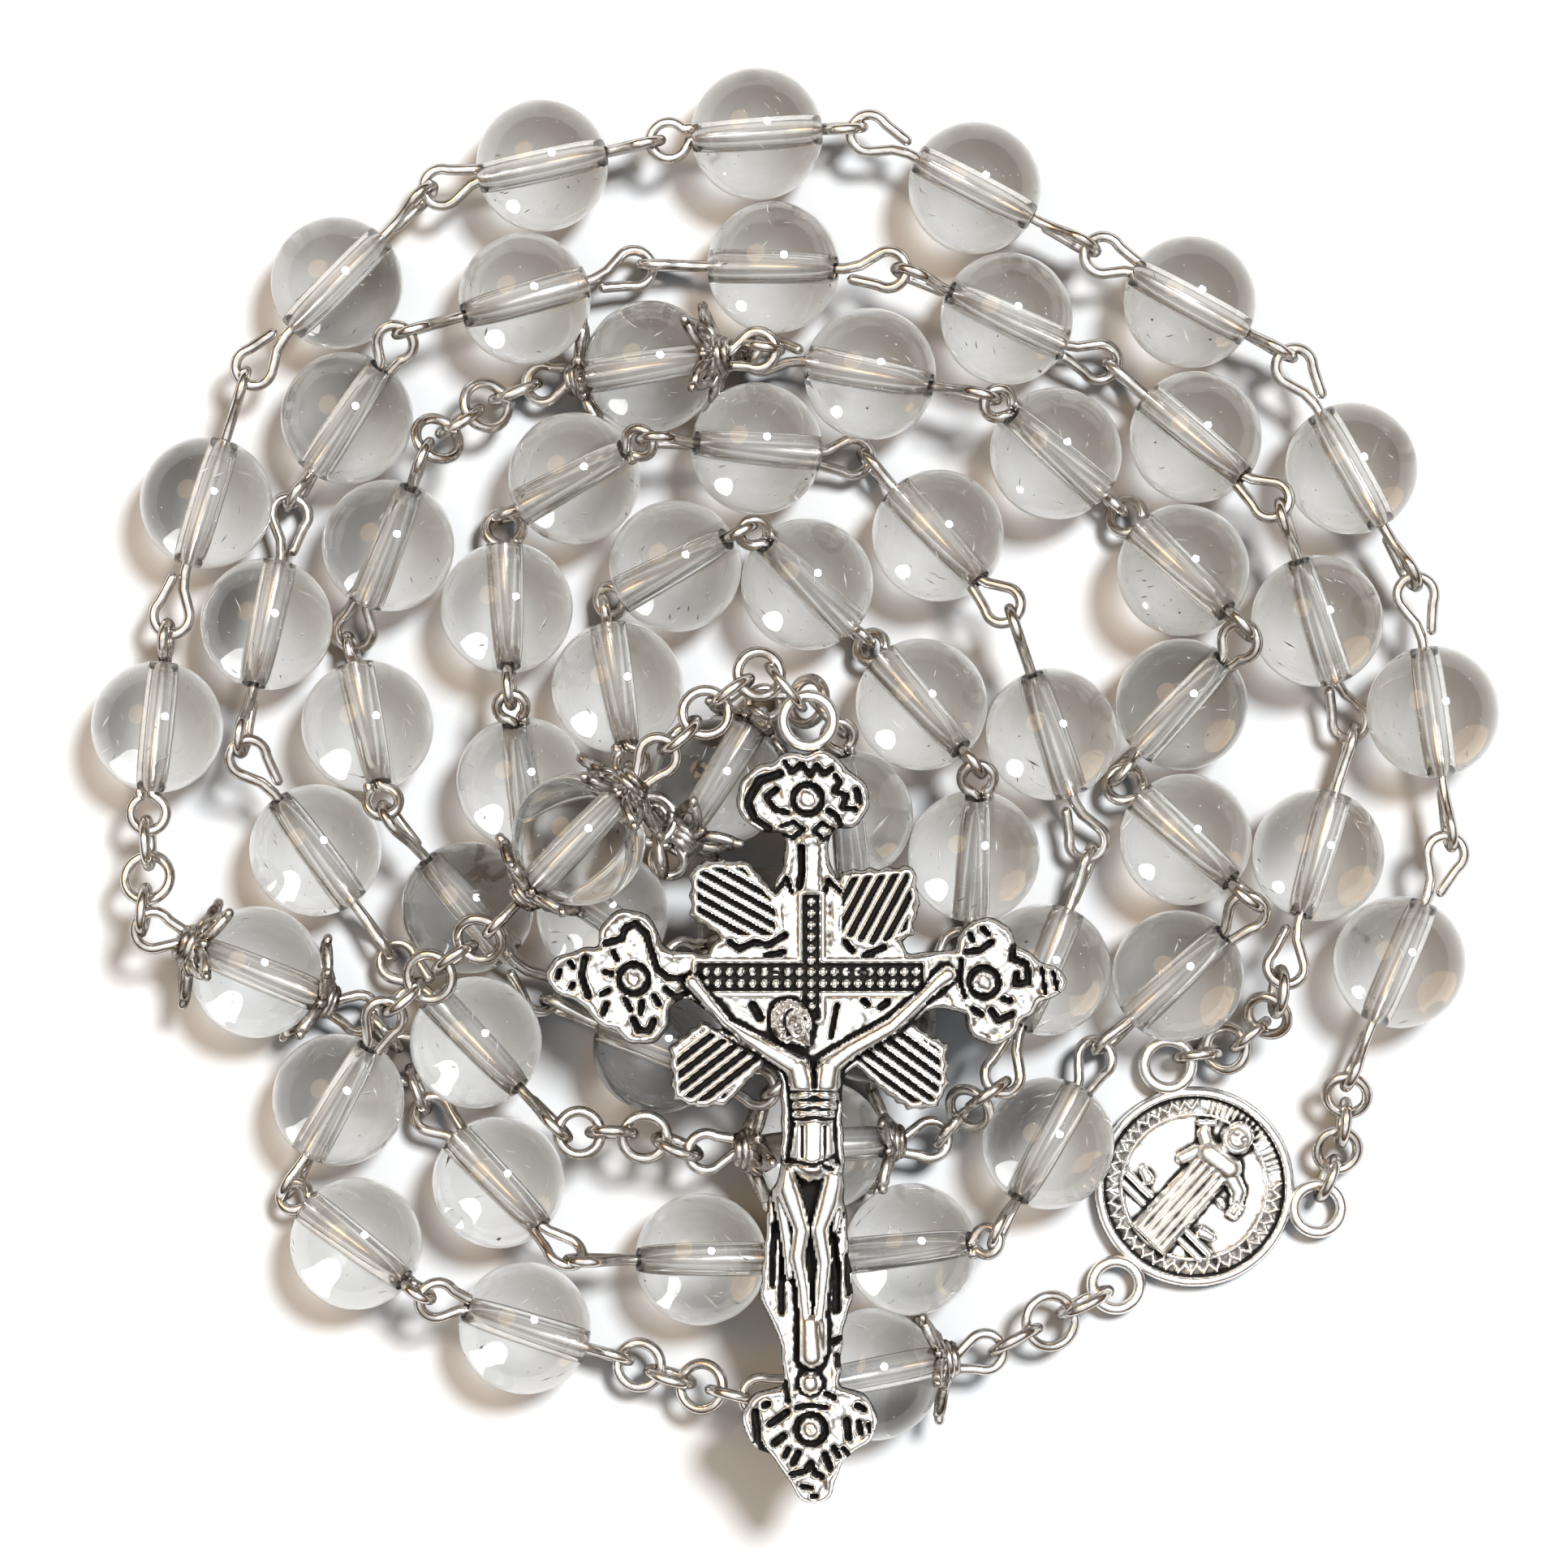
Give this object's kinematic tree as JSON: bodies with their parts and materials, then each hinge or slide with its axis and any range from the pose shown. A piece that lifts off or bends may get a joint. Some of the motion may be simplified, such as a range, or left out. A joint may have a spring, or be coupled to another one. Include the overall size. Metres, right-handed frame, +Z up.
{
  "type": "rosary",
  "caption": "Rosary of clear glass beads on steel eye pins, laid in a flat coil, with petalled metal caps on its larger stops, a round medal and an ornate silver crucifix.",
  "frame": {"origin": "on the surface the rosary lies on, below the middle of the coil's bounding box", "axes": "+Z up out of the surface; +Y towards the top of the crucifix, whose shaft lies along Y; +X to the right of it"},
  "size_m": [0.085, 0.0858, 0.0145],
  "materials": {
    "bead_glass": "clear, polished, with fine bubbles and a warm tint",
    "pin_steel": "drawn steel wire, polished",
    "cap_metal": "stamped, plated, with darkened openwork",
    "crucifix_silver": "antique silver, bright on the high places and black in the recesses",
    "medal_silver": "antique silver, darkened round the relief"
  },
  "bodies": {
    "coil": {"medal": "medal_silver", "strand_c": "bead_glass", "strand_d": "bead_glass", "wire_b": "pin_steel", "wire_e": "pin_steel", "father_wire_1": "pin_steel", "father_wire_2": "pin_steel", "father_wire_3": "pin_steel", "father_wire_4": "pin_steel", "father_wire_5": "pin_steel", "cap_5_far": "cap_metal", "cap_5_near": "cap_metal"},
    "decade_a": {"wire_a": "pin_steel"},
    "hail": {"wire_h": "pin_steel"},
    "pendant_chain": {"pendant_chain": "pin_steel"},
    "pendant_bead": {"father_wire_6": "pin_steel", "cap_6_far": "cap_metal", "cap_6_near": "cap_metal"},
    "crucifix_chain": {"crucifix_chain": "pin_steel", "crucifix_ring": "pin_steel"},
    "crucifix": {"crucifix": "crucifix_silver"},
    "bead_a01": {"bead_a01": "bead_glass"},
    "bead_a02": {"bead_a02": "bead_glass"},
    "bead_a03": {"bead_a03": "bead_glass"},
    "bead_a04": {"bead_a04": "bead_glass"},
    "bead_a05": {"bead_a05": "bead_glass"},
    "bead_a06": {"bead_a06": "bead_glass"},
    "bead_a07": {"bead_a07": "bead_glass"},
    "bead_a08": {"bead_a08": "bead_glass"},
    "bead_a09": {"bead_a09": "bead_glass"},
    "bead_a10": {"bead_a10": "bead_glass"},
    "bead_b01": {"bead_b01": "bead_glass"},
    "bead_b02": {"bead_b02": "bead_glass"},
    "bead_b03": {"bead_b03": "bead_glass"},
    "bead_b04": {"bead_b04": "bead_glass"},
    "bead_b05": {"bead_b05": "bead_glass"},
    "bead_b06": {"bead_b06": "bead_glass"},
    "bead_b07": {"bead_b07": "bead_glass"},
    "bead_b08": {"bead_b08": "bead_glass"},
    "bead_b09": {"bead_b09": "bead_glass"},
    "bead_b10": {"bead_b10": "bead_glass"},
    "bead_e01": {"bead_e01": "bead_glass"},
    "bead_e02": {"bead_e02": "bead_glass"},
    "bead_e03": {"bead_e03": "bead_glass"},
    "bead_e04": {"bead_e04": "bead_glass"},
    "bead_e05": {"bead_e05": "bead_glass"},
    "bead_e06": {"bead_e06": "bead_glass"},
    "bead_e07": {"bead_e07": "bead_glass"},
    "bead_e08": {"bead_e08": "bead_glass"},
    "bead_e09": {"bead_e09": "bead_glass"},
    "bead_e10": {"bead_e10": "bead_glass"},
    "bead_h01": {"bead_h01": "bead_glass"},
    "bead_h02": {"bead_h02": "bead_glass"},
    "bead_h03": {"bead_h03": "bead_glass"},
    "father_bead_1": {"father_bead_1": "bead_glass"},
    "father_bead_2": {"father_bead_2": "bead_glass"},
    "father_bead_3": {"father_bead_3": "bead_glass"},
    "father_bead_4": {"father_bead_4": "bead_glass"},
    "father_bead_5": {"father_bead_5": "bead_glass"},
    "father_bead_6": {"father_bead_6": "bead_glass"}
  },
  "joints": [
    {"name": "decade_a_lift", "type": "hinge", "parent": "coil", "child": "decade_a", "pos_m": [0.03201, -0.02517, 0.0015], "axis": [0.9535, -0.2991, -0.0375], "range_deg": [0, 32]},
    {"name": "hail_lift", "type": "hinge", "parent": "coil", "child": "hail", "pos_m": [-0.01039, -0.03527, 0.002], "axis": [-0.5351, 0.8276, 0.1694], "range_deg": [0, 24]},
    {"name": "chain_lift", "type": "hinge", "parent": "coil", "child": "pendant_chain", "pos_m": [-0.02429, -0.01377, 0.0064], "axis": [0, -1, 0], "range_deg": [0, 25]},
    {"name": "bead_lift", "type": "hinge", "parent": "pendant_chain", "child": "pendant_bead", "pos_m": [-0.01809, -0.00907, 0.0094], "axis": [0, -1, 0], "range_deg": [0, 25]},
    {"name": "crucifix_chain_lift", "type": "hinge", "parent": "pendant_bead", "child": "crucifix_chain", "pos_m": [-0.00759, 0.00183, 0.0117], "axis": [-0.6428, -0.766, 0], "range_deg": [0, 15]},
    {"name": "crucifix_swing", "type": "hinge", "parent": "crucifix_chain", "child": "crucifix", "pos_m": [0.00003, 0.0047, 0.0097], "axis": [-1, 0, 0], "range_deg": [0, 80]},
    {"name": "spin_bead_a01", "type": "hinge", "parent": "decade_a", "child": "bead_a01", "pos_m": [0.03651, -0.01112, 0.004], "axis": [0.3929, 0.9188, 0.038], "continuous": true},
    {"name": "spin_bead_a02", "type": "hinge", "parent": "decade_a", "child": "bead_a02", "pos_m": [0.03851, 0.00398, 0.0042], "axis": [-0.1388, 0.9902, -0.0126], "continuous": true},
    {"name": "spin_bead_a03", "type": "hinge", "parent": "decade_a", "child": "bead_a03", "pos_m": [0.03361, 0.01868, 0.004], "axis": [-0.4851, 0.8744, -0.0128], "continuous": true},
    {"name": "spin_bead_a04", "type": "hinge", "parent": "decade_a", "child": "bead_a04", "pos_m": [0.02386, 0.02873, 0.0041], "axis": [-0.8803, 0.4735, 0.0296], "continuous": true},
    {"name": "spin_bead_a05", "type": "hinge", "parent": "decade_a", "child": "bead_a05", "pos_m": [0.01086, 0.03563, 0.004], "axis": [-0.8848, 0.4644, -0.0377], "continuous": true},
    {"name": "spin_bead_a06", "type": "hinge", "parent": "decade_a", "child": "bead_a06", "pos_m": [-0.00229, 0.03888, 0.004], "axis": [-0.9961, -0.0735, 0.049], "continuous": true},
    {"name": "spin_bead_a07", "type": "hinge", "parent": "decade_a", "child": "bead_a07", "pos_m": [-0.01524, 0.03698, 0.004], "axis": [-0.9774, -0.2069, -0.0428], "continuous": true},
    {"name": "spin_bead_a08", "type": "hinge", "parent": "decade_a", "child": "bead_a08", "pos_m": [-0.02764, 0.02988, 0.004], "axis": [-0.7003, -0.7129, 0.0379], "continuous": true},
    {"name": "spin_bead_a09", "type": "hinge", "parent": "decade_a", "child": "bead_a09", "pos_m": [-0.03554, 0.01663, 0.00405], "axis": [-0.2953, -0.9549, -0.0314], "continuous": true},
    {"name": "spin_bead_a10", "type": "hinge", "parent": "decade_a", "child": "bead_a10", "pos_m": [-0.03849, 0.00308, 0.00405], "axis": [-0.1002, -0.9941, 0.0418], "continuous": true},
    {"name": "spin_bead_b01", "type": "hinge", "parent": "coil", "child": "bead_b01", "pos_m": [-0.01789, -0.02442, 0.004], "axis": [0.6699, -0.6626, 0.335], "continuous": true},
    {"name": "spin_bead_b02", "type": "hinge", "parent": "coil", "child": "bead_b02", "pos_m": [-0.00564, -0.02907, 0.00405], "axis": [0.9593, -0.0125, -0.2821], "continuous": true},
    {"name": "spin_bead_b03", "type": "hinge", "parent": "coil", "child": "bead_b03", "pos_m": [0.00701, -0.02847, 0.00405], "axis": [0.9046, 0.1266, 0.4071], "continuous": true},
    {"name": "spin_bead_b04", "type": "hinge", "parent": "coil", "child": "bead_b04", "pos_m": [0.01531, -0.02207, 0.004], "axis": [0.473, 0.817, -0.3297], "continuous": true},
    {"name": "spin_bead_b05", "type": "hinge", "parent": "coil", "child": "bead_b05", "pos_m": [0.02316, -0.01197, 0.0041], "axis": [0.6722, 0.65, 0.3545], "continuous": true},
    {"name": "spin_bead_b06", "type": "hinge", "parent": "coil", "child": "bead_b06", "pos_m": [0.02361, -0.00372, 0.00405], "axis": [-0.6683, 0.6276, -0.3994], "continuous": true},
    {"name": "spin_bead_b07", "type": "hinge", "parent": "coil", "child": "bead_b07", "pos_m": [0.02336, 0.00443, 0.00425], "axis": [0.6062, 0.6771, 0.4173], "continuous": true},
    {"name": "spin_bead_b08", "type": "hinge", "parent": "coil", "child": "bead_b08", "pos_m": [0.02346, 0.01253, 0.00425], "axis": [-0.6292, 0.6376, -0.4446], "continuous": true},
    {"name": "spin_bead_b09", "type": "hinge", "parent": "coil", "child": "bead_b09", "pos_m": [0.01576, 0.01958, 0.00405], "axis": [-0.6964, 0.573, 0.432], "continuous": true},
    {"name": "spin_bead_b10", "type": "hinge", "parent": "coil", "child": "bead_b10", "pos_m": [0.00456, 0.02438, 0.0041], "axis": [-0.9304, 0.1989, -0.308], "continuous": true},
    {"name": "spin_bead_e01", "type": "hinge", "parent": "coil", "child": "bead_e01", "pos_m": [-0.01924, -0.01597, 0.0041], "axis": [-0.6711, 0.6774, -0.3011], "continuous": true},
    {"name": "spin_bead_e02", "type": "hinge", "parent": "coil", "child": "bead_e02", "pos_m": [-0.02894, -0.00437, 0.004], "axis": [-0.5496, 0.7833, 0.2906], "continuous": true},
    {"name": "spin_bead_e03", "type": "hinge", "parent": "coil", "child": "bead_e03", "pos_m": [-0.03189, 0.00928, 0.004], "axis": [0.1767, 0.9405, -0.2903], "continuous": true},
    {"name": "spin_bead_e04", "type": "hinge", "parent": "coil", "child": "bead_e04", "pos_m": [-0.02704, 0.02173, 0.004], "axis": [0.5311, 0.7698, 0.3541], "continuous": true},
    {"name": "spin_bead_e05", "type": "hinge", "parent": "coil", "child": "bead_e05", "pos_m": [-0.01629, 0.02893, 0.0041], "axis": [0.9199, 0.2772, -0.2772], "continuous": true},
    {"name": "spin_bead_e06", "type": "hinge", "parent": "coil", "child": "bead_e06", "pos_m": [-0.00129, 0.03083, 0.004], "axis": [0.9641, -0.0376, 0.2629], "continuous": true},
    {"name": "spin_bead_e07", "type": "hinge", "parent": "coil", "child": "bead_e07", "pos_m": [0.01281, 0.02773, 0.004], "axis": [0.8774, -0.3839, -0.2879], "continuous": true},
    {"name": "spin_bead_e08", "type": "hinge", "parent": "coil", "child": "bead_e08", "pos_m": [0.02421, 0.02058, 0.00405], "axis": [0.7176, -0.6243, 0.3086], "continuous": true},
    {"name": "spin_bead_e09", "type": "hinge", "parent": "coil", "child": "bead_e09", "pos_m": [0.03156, 0.00948, 0.004], "axis": [0.3142, -0.9026, -0.2942], "continuous": true},
    {"name": "spin_bead_e10", "type": "hinge", "parent": "coil", "child": "bead_e10", "pos_m": [0.03161, -0.00467, 0.004], "axis": [-0.2855, -0.9186, 0.2731], "continuous": true},
    {"name": "spin_bead_h01", "type": "hinge", "parent": "hail", "child": "bead_h01", "pos_m": [-0.01629, -0.03322, 0.00405], "axis": [-0.8975, 0.3118, 0.3118], "continuous": true},
    {"name": "spin_bead_h02", "type": "hinge", "parent": "hail", "child": "bead_h02", "pos_m": [-0.02649, -0.02812, 0.004], "axis": [-0.7577, 0.5375, -0.3701], "continuous": true},
    {"name": "spin_bead_h03", "type": "hinge", "parent": "hail", "child": "bead_h03", "pos_m": [-0.02754, -0.01942, 0.00415], "axis": [0.4713, 0.8194, 0.3263], "continuous": true},
    {"name": "spin_father_bead_1", "type": "hinge", "parent": "coil", "child": "father_bead_1", "pos_m": [-0.03249, -0.01172, 0.004], "axis": [0.8901, -0.3731, -0.2618], "continuous": true},
    {"name": "spin_father_bead_2", "type": "hinge", "parent": "coil", "child": "father_bead_2", "pos_m": [-0.00874, 0.02483, 0.004], "axis": [-0.9487, -0.1308, -0.2879], "continuous": true},
    {"name": "spin_father_bead_3", "type": "hinge", "parent": "coil", "child": "father_bead_3", "pos_m": [-0.00469, -0.00022, 0.0043], "axis": [0.4765, 0.7818, -0.4021], "continuous": true},
    {"name": "spin_father_bead_4", "type": "hinge", "parent": "coil", "child": "father_bead_4", "pos_m": [0.00146, -0.02222, 0.004], "axis": [-0.9866, -0.0457, 0.1568], "continuous": true},
    {"name": "spin_father_bead_5", "type": "hinge", "parent": "coil", "child": "father_bead_5", "pos_m": [0.00476, -0.03602, 0.004], "axis": [-0.978, -0.1878, 0.0907], "continuous": true},
    {"name": "spin_father_bead_6", "type": "hinge", "parent": "pendant_bead", "child": "father_bead_6", "pos_m": [-0.01284, -0.00362, 0.01055], "axis": [0.6859, 0.712, 0.1502], "continuous": true}
  ]
}
